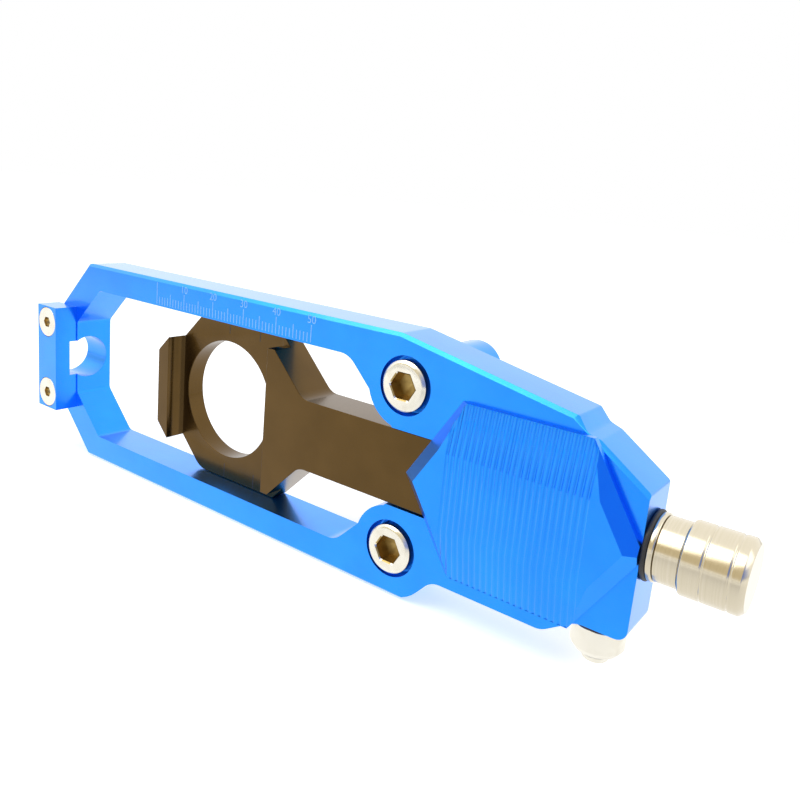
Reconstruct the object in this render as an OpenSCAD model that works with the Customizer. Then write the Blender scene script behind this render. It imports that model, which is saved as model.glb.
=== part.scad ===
// Chain adjuster for a motorcycle swingarm, in millimetres.
// X runs along the adjuster towards the hand knob, Z is up, and the face seen from outside looks to -Y.
// The origin lies midway between the two fixing screws, in the plane where the spacers meet the swingarm.

/* [Frame plate] */
// Thickness of the frame plate
plate_t = 10; // [9:0.5:14]
// Overall height of the frame
frame_h = 52.5; // [50:0.5:60]
// Height of the slot that the slider runs in
slot_h = 39.5; // [38:0.5:42]
// Distance from the fixing screws to the closed end of the slot
slot_reach = 108; // [104:1:130]
// Thickness of the closed end wall of the slot
tail_wall = 9; // [7:0.5:12]
// Size of the cut corners at the closed end of the slot
slot_corner = 10; // [6:0.5:12]
// Size of the cut outer corners at the closed end
tail_corner = 14; // [10:0.5:16]
// Distance from the fixing screws to the knob end of the frame
head_reach = 47.6; // [46:0.2:56]
// Height of the shoulder where the top edge ends its taper
shoulder_z = 19.2; // [18.2:0.2:21]
// Depth of the lower edge of the head below the centreline
head_drop = 19.75; // [18.5:0.25:21]
// Depth of the lock screw's seat below the centreline
lock_seat_z = 15.75; // [15:0.25:17]
// Width of the small bevel along the front edges
edge_bevel = 0.7; // [0.3:0.1:1]

/* [Channel and slider] */
// Height of the slider's arm
arm_h = 15.2; // [14:0.2:17]
// Running clearance on each side of the arm
arm_gap = 0.2; // [0.1:0.05:0.4]
// Running clearance of the slider block above and below in its slot
block_gap = 0.1; // [0.05:0.05:0.3]
// Diameter of the wheel axle
axle_d = 28; // [20:1:28]
// Clearance of the axle in its bore, on the diameter
axle_play = 0.1; // [0.05:0.05:0.2]
// Distance from the axle to the fixing screws at rest
axle_reach = 54.3; // [53:0.5:60]
// Distance from the axle to the outer face of the slider's end lip
lip_reach = 19.5; // [19:0.5:22]
// Thickness of the end lip
lip_t = 3.7; // [3:0.1:4.5]
// Distance from the axle to the edge of the raised body
body_reach = 17.4; // [16.6:0.2:19]
// Height of the raised body
body_h = 33; // [31:0.5:35]
// Depth of the axle head's seat below the raised faces
seat_depth = 5; // [3:0.5:6]
// How far the raised faces lie behind the face of the frame
slider_inset = 0.5; // [0.3:0.1:1]
// Distance from the axle to where the sloping flank meets the slot
flank_reach = 16.35; // [15.5:0.25:18]
// Clearance between the arm's end and the adjuster screw's shoulder at full travel
arm_clear = 0.5; // [0.4:0.1:2]
// Travel of the slider each way from rest
travel = 20; // [10:1:20]

/* [Fixing screws and spacers] */
// Distance between the two fixing screws
screw_pitch = 33; // [32:0.5:36]
// Thread diameter of the fixing screws
screw_d = 6; // [5:1:6]
// Head diameter of the fixing screws
screw_head_d = 10; // [9:0.5:10]
// How far the fixing screws stand out behind the spacers
screw_reach = 3.1; // [2.5:0.1:15]
// Width across flats of the fixing screws' sockets
screw_key = 5; // [4:0.5:5]
// Depth of the counterbores in the frame
counterbore_depth = 5.1; // [3:0.1:5.5]
// Clearance round a fixing screw's head, on the diameter
counterbore_play = 1.6; // [0.6:0.1:1.8]
// Clearance of a fixing screw in its hole, on the diameter
screw_play = 0.4; // [0.2:0.1:0.8]
// Outer diameter of the spacers
spacer_d = 12; // [10:0.5:14]
// Length of the spacers
spacer_len = 17; // [10:1:20]
// Radius of the bosses round the fixing screws, on the slot side
boss_r = 8.7; // [8.2:0.1:8.8]

/* [Cover over the channel] */
// Height of the cover at its middle
cover_t = 3; // [2.8:0.1:4]
// Height of the cover at its upper and lower edges
cover_edge_t = 1.2; // [0.8:0.1:1.6]
// Height of the cover across the adjuster
cover_h = 33.4; // [32:0.2:35]
// Distance from the fixing screws to the point of the cover
cover_start = 2.1; // [1:0.1:4]
// Distance from the fixing screws to the cover's left corners
cover_left = 12.9; // [12:0.1:14]
// Distance from the fixing screws to the cover's right corners
cover_right = 38; // [37:0.2:39]
// Half height of the flat band along the middle of the cover
cover_band = 7.5; // [6:0.5:9]
// Spacing of the grooves
groove_pitch = 1.2; // [1:0.1:2]
// Width of the grooves
groove_w = 0.8; // [0.4:0.1:0.9]
// Depth of the grooves in the upper facet
groove_depth = 0.4; // [0.2:0.05:0.5]
// Depth of the fine grooves in the band and the lower facet
fine_groove_depth = 0.2; // [0.1:0.05:0.3]
// Thread diameter of the screws that hold the cover from behind
cover_screw_d = 3; // [2.5:0.5:3]

/* [Adjuster screw and knob] */
// Thread diameter of the adjuster screw
spindle_d = 6; // [5:0.5:6]
// Thread clearance in the arm, on the diameter
thread_gap = 0.1; // [0.06:0.02:0.16]
// Diameter of the screw's journal in the head of the frame
journal_d = 7; // [6.5:0.25:7.5]
// Clearance of the journal in its bore, on the diameter
journal_gap = 0.1; // [0.06:0.02:0.16]
// Thickness of the head wall that carries the journal
head_wall = 10.6; // [10:0.2:12]
// Outer diameter of the friction ring
ring_d = 12; // [10.5:0.25:12.5]
// Thickness of the friction ring
ring_t = 0.9; // [0.6:0.1:1.4]
// Outer diameter of the flange washer
flange_d = 11.5; // [10:0.25:12]
// Thickness of the flange washer
flange_t = 1; // [0.6:0.1:1.5]
// Diameter of the collar
collar_d = 11; // [10:0.25:12]
// Length of the collar
collar_len = 3.9; // [2:0.1:6]
// Diameter of the hand knob
knob_d = 12.3; // [11:0.1:14]
// Length of the hand knob
knob_len = 9.8; // [8:0.2:14]
// Length of thread that stays in the arm when the slider is fully out
thread_grip = 8.5; // [6:0.5:9]

/* [Lock screw] */
// Distance from the knob end of the frame to the lock screw
lock_inset = 6.2; // [5.5:0.1:7]
// Thread diameter of the lock screw
lock_d = 5; // [4:0.5:5]
// Head diameter of the lock screw
lock_head_d = 9.4; // [9:0.1:10]
// Clearance round the lock screw's head where the frame steps down, on the diameter
lock_head_play = 0.8; // [0.6:0.1:1.4]
// Head height of the lock screw
lock_head_h = 5; // [4:0.1:8]
// Diameter of the small end of the lock screw
lock_tip_d = 4.7; // [3:0.1:5]
// Height of the small end of the lock screw
lock_tip_h = 2; // [0.6:0.1:3]
// How far the lock screw backs out
lock_travel = 1.6; // [0.8:0.2:2.4]

/* [Anchor block at the closed end] */
// Width of the anchor block along the adjuster
anchor_w = 8.4; // [8.4:0.1:8.8]
// Height of the anchor block
anchor_h = 27.8; // [27.6:0.2:30]
// How far the anchor block stands out of the frame
anchor_t = 6; // [4.5:0.5:8]
// Distance between the two anchor screws
anchor_pitch = 19.2; // [18.6:0.1:19.2]
// Thread diameter of the anchor screws
anchor_screw_d = 4; // [3:0.5:4]
// Diameter of the cross hole through the closed end
cross_hole_d = 11.2; // [9:0.2:12]
// Depth of the cross hole's axis behind the face of the frame
cross_hole_depth = 3.2; // [3:0.1:4]
// Depth of the notch across the back of the anchor block
notch_depth = 2; // [1:0.1:2.4]
// Height of that notch
notch_h = 9.2; // [7:0.2:11]

/* [Hidden] */

$fn = 64;
over = 1;                                // how far a cut runs past the surface it opens
arc_steps = 6;                           // straight steps in a rounded corner of an outline
flat_head = 1.94;                        // head diameter of a countersunk screw over its thread's

back_y = -spacer_len;                    // rear face of the frame plate
front_y = back_y - plate_t;              // front face of the frame plate
axis_y = back_y - plate_t / 2;           // depth of the adjuster screw's axis
screw_z = screw_pitch / 2;
screw_grip = plate_t - counterbore_depth + spacer_len;
half_h = frame_h / 2;
slot_z = slot_h / 2;
tail_x = -slot_reach - tail_wall;
channel_z = arm_h / 2 + arm_gap;
channel_end = head_reach - head_wall;

axle_x = -axle_reach;
block_z = slot_z - block_gap;
lip_x = axle_x - lip_reach;
seat_left = lip_x + lip_t;
seat_right = axle_x + body_reach;
slider_t = plate_t - slider_inset;

clip_gap = 0.05;                         // end play between turning and standing faces
washer_t = 0.9;                          // thickness of the thrust washer
clip_t = 0.9;                            // thickness of the retaining clip
small_ring_d = plate_t - 0.6;            // the inner rings stay inside the thickness of the frame
clip_x = channel_end - washer_t - clip_gap - clip_t;
shoulder_w = 1;                          // width of the journal inside the clip
arm_end = clip_x - shoulder_w - arm_clear - travel;
thread_start = arm_end - travel - thread_grip;
collar_x = head_reach + ring_t + flange_t + clip_gap;
knob_x = collar_x + collar_len;
spigot_d = 6;
spigot_len = knob_len - 2.5;

lock_x = head_reach - lock_inset;
lock_washer_t = 0.5;
pad_t = 2;
pad_gap = 0.08;                          // play of the pad between the journal and the lock screw

anchor_x = -slot_reach - anchor_w - 0.4;
anchor_screw_x = anchor_x + anchor_w / 2;
cross_y = front_y + cross_hole_depth;
cover_screw_xs = [cover_left + 2.1, lock_x - 7.4];   // clear of the lock screw's bore
cover_screw_z = 11.5;
cover_angle = atan((cover_t - cover_edge_t) / (cover_h / 2 - cover_band));

blue = [0.09, 0.42, 0.95];
bronze = [0.42, 0.37, 0.29];
chrome = [0.86, 0.86, 0.84];
black = [0.08, 0.08, 0.09];
brass = [0.78, 0.62, 0.28];

function unit(v) = v / norm(v);

// The corner of an outline, replaced by an arc of radius r between the edges to p and to s.
function arc_corner(p, q, s, r) =
    let (
        u = unit(p - q), v = unit(s - q),
        half = acos(u * v) / 2,
        centre = q + unit(u + v) * r / sin(half),
        from = q + u * r / tan(half) - centre,
        to = q + v * r / tan(half) - centre,
        turn = 180 - 2 * half
    )
    [for (i = [0 : arc_steps])
        let (k = i / arc_steps)
        centre + (from * sin((1 - k) * turn) + to * sin(k * turn)) / sin(turn)];

// An outline from corners given as [x, z, radius].
function rounded(c) =
    let (n = len(c))
    [for (i = [0 : n - 1])
        let (
            p = [c[(i + n - 1) % n].x, c[(i + n - 1) % n].y],
            q = [c[i].x, c[i].y],
            s = [c[(i + 1) % n].x, c[(i + 1) % n].y]
        )
        each (c[i].z > 0 ? arc_corner(p, q, s, c[i].z) : [q])];

// Lays a shape drawn flat, with height along +Z, against the plane y = at, rising towards -Y.
module upright(at) {
    translate([0, at, 0]) rotate([90, 0, 0]) children();
}

// A shape turned about the X axis, drawn as [distance along X, radius] and starting at x.
module turned_x(x, at_y = axis_y) {
    translate([x, at_y, 0]) rotate([0, 90, 0]) rotate([0, 0, 90]) rotate_extrude() children();
}

// Removes what lies above a plane that rises inwards from the edge p to q, starting at height h.
module bevel(p, q, h, angle) {
    reach = 320;
    translate([p.x, p.y, h])
        rotate([0, 0, atan2(q.y - p.y, q.x - p.x)])
            rotate([angle, 0, 0])
                translate([-reach / 2, -reach / 2, 0]) cube([reach, reach, 20]);
}

// A V groove that runs up the slope from the point p, drawn in the same way as a bevel.
module groove(p, h, turn, angle, length, depth) {
    above = 0.3;
    half_w = groove_w / 2 * (1 + above / depth);
    translate([p.x, p.y, h]) rotate([0, 0, turn]) rotate([angle, 0, 0]) rotate([-90, 0, 0])
        linear_extrude(length)
            polygon([[-half_w, -above], [half_w, -above], [0, depth]]);
}

// Socket head cap screw, head outwards to -Y, with the underside of the head at y = 0.
// Its shank is a little thinner than the thread, which stands free past the grip.
module cap_screw(d, head_d, grip, reach, key) {
    chamfer = 0.6;
    shank_r = d / 2 - 0.05;
    thread_z = -grip + 0.05;
    end_z = -grip - reach;
    difference() {
        rotate([90, 0, 0]) rotate_extrude()
            polygon([
                [0, end_z], [d / 2 - chamfer, end_z], [d / 2, end_z + chamfer], [d / 2, thread_z],
                [shank_r, thread_z], [shank_r, 0],
                [head_d / 2, 0], [head_d / 2, d - chamfer], [head_d / 2 - chamfer, d], [0, d]
            ]);
        translate([0, -d - over, 0]) rotate([-90, 0, 0])
            cylinder(h = d / 2 + over, d = key / cos(30), $fn = 6);
    }
}

// Countersunk screw with its flat head at y = 0, facing -Y.
module flat_screw(d, length, key) {
    head_r = flat_head * d / 2;
    cone = head_r - d / 2;
    difference() {
        rotate([90, 0, 0]) rotate_extrude()
            polygon([
                [0, -length], [d / 2, -length], [d / 2, -cone - 0.3],
                [head_r, -0.3], [head_r, 0], [0, 0]
            ]);
        translate([0, -over, 0]) rotate([-90, 0, 0])
            cylinder(h = d * 0.45 + over, d = key / cos(30), $fn = 6);
    }
}

// The hole for a countersunk screw whose head lies flush at y = 0, with play all round.
module flat_screw_hole(d, length, play) {
    head_r = flat_head * d / 2 + play;
    cone = head_r - d / 2 - play;
    rotate([90, 0, 0]) rotate_extrude()
        polygon([
            [0, -length], [d / 2 + play, -length], [d / 2 + play, -cone - 0.35],
            [head_r, -0.35], [head_r, over], [0, over]
        ]);
}

frame_outline = [
    [tail_x, half_h - tail_corner, 1.5],
    [tail_x + tail_corner, half_h, 3],
    [-2, half_h, 4],
    [head_reach - 13.4, shoulder_z, 0.8],
    [head_reach - 11.4, shoulder_z - 2.3, 2],
    [head_reach - 9.2, shoulder_z - 3.1, 2],
    [head_reach, shoulder_z - 9.5, 0.8],
    [head_reach, -lock_seat_z, 2],
    [head_reach - 8.6, -lock_seat_z, 4],
    [head_reach - 14.6, -head_drop, 4],
    [10.2, -head_drop, 4],
    [4.3, -half_h, 9],
    [tail_x + tail_corner, -half_h, 3],
    [tail_x, -half_h + tail_corner, 1.5]
];

slot_outline = [
    [-slot_reach, -slot_z + slot_corner, 1.5],
    [-slot_reach + slot_corner, -slot_z, 2],
    [-slot_z + 5.7, -slot_z, 5],
    [-channel_z + 5.7, -channel_z, 0],
    [channel_end, -channel_z, 1.5],
    [channel_end, channel_z, 1.5],
    [-channel_z + 5.7, channel_z, 0],
    [-slot_z + 5.7, slot_z, 5],
    [-slot_reach + slot_corner, slot_z, 2],
    [-slot_reach, slot_z - slot_corner, 1.5]
];

// The edges of the frame's face that are bevelled, as pairs of corners of its outline.
bevelled_edges = [[0, 1], [1, 2], [2, 3], [5, 6], [11, 12], [12, 13]];

module frame_plate() {
    color(blue) difference() {
        upright(back_y) difference() {
            linear_extrude(plate_t) polygon(rounded(frame_outline));
            translate([0, 0, -over]) linear_extrude(plate_t + 2 * over) difference() {
                polygon(rounded(slot_outline));
                for (side = [-1, 1]) translate([0, side * screw_z]) circle(r = boss_r);
            }
            for (e = bevelled_edges) {
                p = frame_outline[e[0]];
                q = frame_outline[e[1]];
                bevel([q.x, q.y], [p.x, p.y], plate_t - edge_bevel, 45);
            }
        }
        for (side = [-1, 1]) {
            translate([0, front_y - over, side * screw_z]) rotate([-90, 0, 0]) {
                cylinder(h = plate_t + 2 * over, d = screw_d + screw_play);
                cylinder(h = counterbore_depth + over, d = screw_head_d + counterbore_play);
            }
            translate([anchor_screw_x, front_y - over, side * anchor_pitch / 2]) rotate([-90, 0, 0])
                cylinder(h = plate_t + 2 * over, d = anchor_screw_d + thread_gap);
            for (x = cover_screw_xs) translate([x, back_y, side * cover_screw_z]) rotate([0, 0, 180])
                flat_screw_hole(cover_screw_d, plate_t + over, 0.15);
        }
        translate([tail_x - over, cross_y, 0]) rotate([0, 90, 0])
            cylinder(h = tail_wall + 2 * over, d = cross_hole_d);
        translate([channel_end - over, axis_y, 0]) rotate([0, 90, 0])
            cylinder(h = head_wall + 2 * over, d = journal_d + journal_gap);
        translate([lock_x, axis_y, -lock_seat_z - over])
            cylinder(h = lock_seat_z + over, d = lock_d + thread_gap);
        translate([lock_x, axis_y, -frame_h])
            cylinder(h = frame_h - lock_seat_z, d = lock_head_d + lock_head_play);
    }
}

cover_outline = [
    [cover_start, 0],
    [cover_left, -cover_h / 2],
    [cover_right, -cover_h / 2],
    [head_reach, -1.6],
    [head_reach, 1.6],
    [cover_right, cover_h / 2],
    [cover_left, cover_h / 2]
];

// Where the grooves of one facet lie along X: clear of the point on the left and of the plain facets.
groove_first = cover_left - 0.4;
groove_count = floor((cover_right + 1 - groove_first) / groove_pitch);

module channel_cover() {
    c = cover_outline;
    crease_over = 0.3;                   // how far a groove runs past a crease
    slope_run = (cover_h / 2 - cover_band) / cos(cover_angle) + crease_over;
    band_z = cover_band + crease_over;
    right_angle = 36;
    color(blue) difference() {
        upright(front_y) difference() {
            linear_extrude(cover_t) polygon(c);
            bevel(c[0], c[1], 0, 45);
            bevel(c[6], c[0], 0, 45);
            bevel(c[5], c[6], cover_edge_t, cover_angle);
            bevel(c[1], c[2], cover_edge_t, cover_angle);
            bevel(c[2], c[3], cover_edge_t, right_angle);
            bevel(c[4], c[5], cover_edge_t, right_angle);
            for (i = [0 : groove_count]) {
                x = groove_first + i * groove_pitch;
                groove([x, cover_h / 2], cover_edge_t, 180, cover_angle, slope_run, groove_depth);
                groove([x, -cover_h / 2], cover_edge_t, 0, cover_angle, slope_run, fine_groove_depth);
                groove([x, -band_z], cover_t, 0, 0, 2 * band_z, fine_groove_depth);
            }
        }
        for (side = [-1, 1]) for (x = cover_screw_xs)
            translate([x, front_y + over, side * cover_screw_z]) rotate([90, 0, 0])
                cylinder(h = over + 1.5, d = cover_screw_d + thread_gap);
    }
}

module cover_screw(x, side) {
    color(chrome) translate([x, back_y, side * cover_screw_z]) rotate([0, 0, 180])
        flat_screw(cover_screw_d, plate_t + 1.4, 2);
}

module cover_screw_1() { cover_screw(cover_screw_xs[0], 1); }
module cover_screw_2() { cover_screw(cover_screw_xs[1], 1); }
module cover_screw_3() { cover_screw(cover_screw_xs[0], -1); }
module cover_screw_4() { cover_screw(cover_screw_xs[1], -1); }

module anchor_block() {
    color(blue) difference() {
        translate([anchor_x, front_y - anchor_t, -anchor_h / 2]) cube([anchor_w, anchor_t, anchor_h]);
        translate([anchor_x - over, front_y - notch_depth, -notch_h / 2])
            cube([anchor_w + 2 * over, notch_depth + over, notch_h]);
        for (side = [-1, 1]) translate([anchor_screw_x, front_y - anchor_t, side * anchor_pitch / 2])
            flat_screw_hole(anchor_screw_d, anchor_t + over, 0.12);
    }
}

module anchor_screw(side) {
    color(chrome) translate([anchor_screw_x, front_y - anchor_t, side * anchor_pitch / 2])
        flat_screw(anchor_screw_d, anchor_t + plate_t - 2, 2.5);
}

module anchor_screw_upper() { anchor_screw(1); }
module anchor_screw_lower() { anchor_screw(-1); }

module mount_screw(side) {
    color(chrome) translate([0, front_y + counterbore_depth, side * screw_z])
        cap_screw(screw_d, screw_head_d, screw_grip, screw_reach, screw_key);
}

module mount_screw_upper() { mount_screw(1); }
module mount_screw_lower() { mount_screw(-1); }

module spacer(side) {
    bevel_w = 0.5;
    color(blue) translate([0, 0, side * screw_z]) rotate([90, 0, 0]) rotate_extrude()
        polygon([
            [(screw_d + screw_play) / 2, 0], [spacer_d / 2 - bevel_w, 0], [spacer_d / 2, bevel_w],
            [spacer_d / 2, spacer_len], [(screw_d + screw_play) / 2, spacer_len]
        ]);
}

module spacer_upper() { spacer(1); }
module spacer_lower() { spacer(-1); }

slider_half = [
    [lip_x, block_z - 10.6, 0.8],
    [lip_x + 10.6, block_z, 5],
    [axle_x + flank_reach, block_z, 0.8],
    [axle_x + flank_reach + block_z - arm_h / 2, arm_h / 2, 4],
    [arm_end, arm_h / 2, 0.8]
];
slider_outline = concat(
    slider_half,
    [for (i = [len(slider_half) - 1 : -1 : 0]) [slider_half[i].x, -slider_half[i].y, slider_half[i].z]]
);

module slider() {
    floor_w = slider_t - seat_depth;
    hole_end = thread_start - travel - 1.5;
    color(bronze) difference() {
        upright(back_y) difference() {
            linear_extrude(slider_t) polygon(rounded(slider_outline));
            translate([seat_left, -frame_h, floor_w]) cube([seat_right - seat_left, 2 * frame_h, plate_t]);
            for (side = [-1, 1])
                translate([seat_right - over, side > 0 ? body_h / 2 : -frame_h, floor_w])
                    cube([flank_reach, frame_h - body_h / 2, plate_t]);
            translate([axle_x, 0, -over]) cylinder(h = plate_t + 2 * over, d = axle_d + axle_play);
        }
        translate([hole_end, axis_y, 0]) rotate([0, 90, 0])
            cylinder(h = arm_end - hole_end + over, d = spindle_d + thread_gap);
    }
}

module adjuster_screw() {
    thread_r = spindle_d / 2;
    journal_r = journal_d / 2;
    spigot_x = knob_x + spigot_len;
    color(chrome) turned_x(0)
        polygon([
            [0, thread_start], [thread_r - 0.6, thread_start], [thread_r, thread_start + 0.6],
            [thread_r, clip_x - shoulder_w], [journal_r, clip_x - shoulder_w], [journal_r, clip_x],
            [thread_r, clip_x], [thread_r, clip_x + clip_t + clip_gap],
            [journal_r, clip_x + clip_t + clip_gap], [journal_r, collar_x],
            [collar_d / 2, collar_x], [collar_d / 2, knob_x],
            [spigot_d / 2, knob_x], [spigot_d / 2, spigot_x], [0, spigot_x]
        ]);
}

module adjuster_knob() {
    r = knob_d / 2;
    chamfer = 0.8;
    cut = 0.25;
    bore_r = spigot_d / 2 + 0.02;
    grip_w = 0.5;
    grip_1 = knob_x + knob_len * 0.31;
    grip_2 = knob_x + knob_len * 0.72;
    end_x = knob_x + knob_len;
    color(chrome) turned_x(0)
        polygon([
            [bore_r, knob_x + clip_gap], [r - cut, knob_x + clip_gap], [r, knob_x + clip_gap + cut],
            [r, grip_1], [r - cut, grip_1 + grip_w / 2], [r, grip_1 + grip_w],
            [r, grip_2], [r - cut, grip_2 + grip_w / 2], [r, grip_2 + grip_w],
            [r, end_x - chamfer], [r - chamfer, end_x], [0, end_x],
            [0, knob_x + spigot_len + 0.1], [bore_r, knob_x + spigot_len + 0.1]
        ]);
}

// A flat ring turned about the adjuster's axis, from x to x + t.
module flat_ring(x, t, inner_r, outer_r, edge) {
    turned_x(x)
        polygon([
            [inner_r, 0], [outer_r - edge, 0], [outer_r, edge],
            [outer_r, t - edge], [outer_r - edge, t], [inner_r, t]
        ]);
}

module friction_ring() {
    color(black) flat_ring(head_reach, ring_t, (journal_d + journal_gap) / 2, ring_d / 2, ring_t * 0.3);
}

module flange_washer() {
    color(chrome)
        flat_ring(head_reach + ring_t, flange_t, (journal_d + journal_gap) / 2, flange_d / 2, 0.15);
}

module thrust_washer() {
    color(brass)
        flat_ring(channel_end - washer_t, washer_t, (journal_d + journal_gap) / 2,
            small_ring_d / 2, 0.15);
}

module retaining_clip() {
    gap_w = 2.4;
    color(black) difference() {
        flat_ring(clip_x, clip_t, spindle_d / 2 + 0.05, small_ring_d / 2 - 0.2, 0.1);
        translate([clip_x - over, axis_y - gap_w / 2, 0])
            cube([clip_t + 2 * over, gap_w, small_ring_d]);
    }
}

// Places a shape turned about +Z on the lock screw's axis.
module on_lock_axis(z) {
    translate([lock_x, axis_y, z]) children();
}

module lock_screw() {
    top = -journal_d / 2 - pad_gap - pad_t - pad_gap;
    seat = -lock_seat_z - lock_washer_t - clip_gap;
    low = seat - lock_head_h;
    r = lock_head_d / 2;
    chamfer = 1.1;
    color(chrome) on_lock_axis(0) rotate_extrude()
        polygon([
            [0, top], [lock_d / 2 - 0.4, top], [lock_d / 2, top - 0.4], [lock_d / 2, seat],
            [r, seat], [r, low + chamfer], [r - chamfer * 0.7, low],
            [lock_tip_d / 2, low], [lock_tip_d / 2, low - lock_tip_h + 0.3],
            [lock_tip_d / 2 - 0.3, low - lock_tip_h], [0, low - lock_tip_h]
        ]);
}

module lock_pad() {
    color(brass) on_lock_axis(-journal_d / 2 - pad_gap - pad_t) cylinder(h = pad_t, d = lock_d - 0.1);
}

module lock_washer() {
    color(black) on_lock_axis(-lock_seat_z - lock_washer_t) difference() {
        cylinder(h = lock_washer_t, d = lock_head_d);
        translate([0, 0, -over]) cylinder(h = lock_washer_t + 2 * over, d = lock_d + 0.3);
    }
}

frame_plate();
channel_cover();
cover_screw_1();
cover_screw_2();
cover_screw_3();
cover_screw_4();
anchor_block();
anchor_screw_upper();
anchor_screw_lower();
mount_screw_upper();
mount_screw_lower();
spacer_upper();
spacer_lower();
slider();
adjuster_screw();
adjuster_knob();
friction_ring();
flange_washer();
thrust_washer();
retaining_clip();
lock_screw();
lock_pad();
lock_washer();
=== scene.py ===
"""Looks of a motorcycle chain adjuster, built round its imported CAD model."""

import logging
import math
from dataclasses import dataclass
from enum import Enum
from typing import Callable, Sequence

import bmesh
import bpy
from mathutils import Matrix, Vector


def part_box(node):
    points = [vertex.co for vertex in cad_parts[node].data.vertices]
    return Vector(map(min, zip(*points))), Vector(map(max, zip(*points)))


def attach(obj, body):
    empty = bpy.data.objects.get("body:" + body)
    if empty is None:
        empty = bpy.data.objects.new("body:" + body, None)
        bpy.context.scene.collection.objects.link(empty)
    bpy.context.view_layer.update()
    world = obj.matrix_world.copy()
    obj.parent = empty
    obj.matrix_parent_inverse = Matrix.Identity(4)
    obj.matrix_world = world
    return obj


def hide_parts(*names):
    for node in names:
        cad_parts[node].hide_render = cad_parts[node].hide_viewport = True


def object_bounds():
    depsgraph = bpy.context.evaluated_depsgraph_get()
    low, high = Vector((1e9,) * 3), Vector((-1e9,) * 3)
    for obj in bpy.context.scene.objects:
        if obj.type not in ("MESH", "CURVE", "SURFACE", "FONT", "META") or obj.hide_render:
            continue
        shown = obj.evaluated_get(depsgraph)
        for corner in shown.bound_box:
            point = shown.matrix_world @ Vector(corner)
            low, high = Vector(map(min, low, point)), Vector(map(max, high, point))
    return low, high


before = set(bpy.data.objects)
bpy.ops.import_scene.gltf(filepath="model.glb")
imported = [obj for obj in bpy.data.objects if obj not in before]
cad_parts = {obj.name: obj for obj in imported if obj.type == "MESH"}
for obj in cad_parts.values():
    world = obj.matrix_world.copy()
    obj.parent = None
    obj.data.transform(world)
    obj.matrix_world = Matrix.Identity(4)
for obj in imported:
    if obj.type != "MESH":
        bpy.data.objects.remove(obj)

CAD_BOX = [list(corner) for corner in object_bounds()]
LOG = logging.getLogger("chain_adjuster")

# Lengths in metres.
MM = 0.001
MICRON = 1e-6
WELD = 1.0 * MICRON

# Angles between two faces, in degrees.
FLAT_ANGLE = 0.4  # below it they are one face
SMOOTH_ANGLE = 32  # above it their edge is drawn sharp
ROUNDED_ANGLE = 24  # above it their edge is rounded, on a softened piece
NO_SHARP_ANGLE = 179  # above it there is no edge, so that none is drawn sharp

ROUNDING_STEPS = 2
FLAT_FACE_WEIGHT = 100  # how far a softened piece takes its shading from its large faces
SOCKET_LIP = 0.05 * MM  # depth at the mouth of a screw's socket that is left out of its painted shade

# Form of a metric thread, as shares of its pitch: its depth, half of its crest and one flank.
THREAD_DEPTH = 0.6134
THREAD_CREST = 0.0625
THREAD_FLANK = 0.3125

# Places of the colour sockets of a Mix node, whose names several of its sockets share.
FIRST_COLOUR, SECOND_COLOUR, MIXED_COLOUR = 6, 7, 2

# Values between which most of a noise lies.
NOISE_SPAN = (0.3, 0.7)

WHITE = (1.0, 1.0, 1.0)

Colour = tuple[float, float, float]
Ring = list[Vector]
Radius = float | Callable[[float], float]
Socket = bpy.types.NodeSocket
Group = bpy.types.ShaderNodeTree


class Slot(Enum):
    """Material slots of the record."""

    BLUE = "blue_anodised"
    BRONZE = "bronze_anodised"
    STEEL = "bright_steel"
    RUBBER = "black_rubber"
    DARK = "dark_steel"
    BRASS = "brass"


class Body(Enum):
    """Moving bodies of the part."""

    FRAME = "frame"
    SLIDER = "slider"
    ADJUSTER = "adjuster"
    LOCK_PAD = "lock_pad"
    LOCK_SCREW = "lock_screw"


class Tree:
    """Adds and links the nodes of one shader tree."""

    def __init__(self, tree: bpy.types.NodeTree) -> None:
        """Takes the tree to build in.

        Args:
            tree: the node tree, which is emptied first.
        """
        self.tree = tree
        self.tree.nodes.clear()

    def add(self, kind: str, **settings: object) -> bpy.types.Node:
        """Adds a node.

        Args:
            kind: the node's type name.
            settings: attributes of the node, or sockets when the key starts with "in_".

        Returns:
            The new node.
        """
        node = self.tree.nodes.new(kind)
        for key, value in settings.items():
            if key.startswith("in_"):
                node.inputs[key[3:].replace("_", " ")].default_value = value
            else:
                setattr(node, key, value)
        return node

    def link(self, source: Socket, target: Socket) -> None:
        """Links an output to an input."""
        self.tree.links.new(source, target)

    def maths(self, operation: str, *values: object) -> Socket:
        """Adds a Math node.

        Args:
            operation: the operation's name.
            values: numbers or sockets, in the order of the node's inputs.

        Returns:
            The node's output.
        """
        node = self.add("ShaderNodeMath", operation=operation)
        for socket, value in zip(node.inputs, values):
            if isinstance(value, (int, float)):
                socket.default_value = value
            else:
                self.link(value, socket)
        return node.outputs[0]

    def spread(
        self,
        value: Socket,
        low: float,
        high: float,
        start: float = 0.0,
        end: float = 1.0,
    ) -> Socket:
        """Maps a value from start..end to low..high.

        Args:
            value: the value to map.
            low: result at start.
            high: result at end.
            start: value that gives low.
            end: value that gives high.

        Returns:
            The mapped value.
        """
        node = self.add("ShaderNodeMapRange")
        limits = {"From Min": start, "From Max": end, "To Min": low, "To Max": high}
        for name, number in limits.items():
            node.inputs[name].default_value = number
        self.link(value, node.inputs["Value"])
        return node.outputs["Result"]


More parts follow.
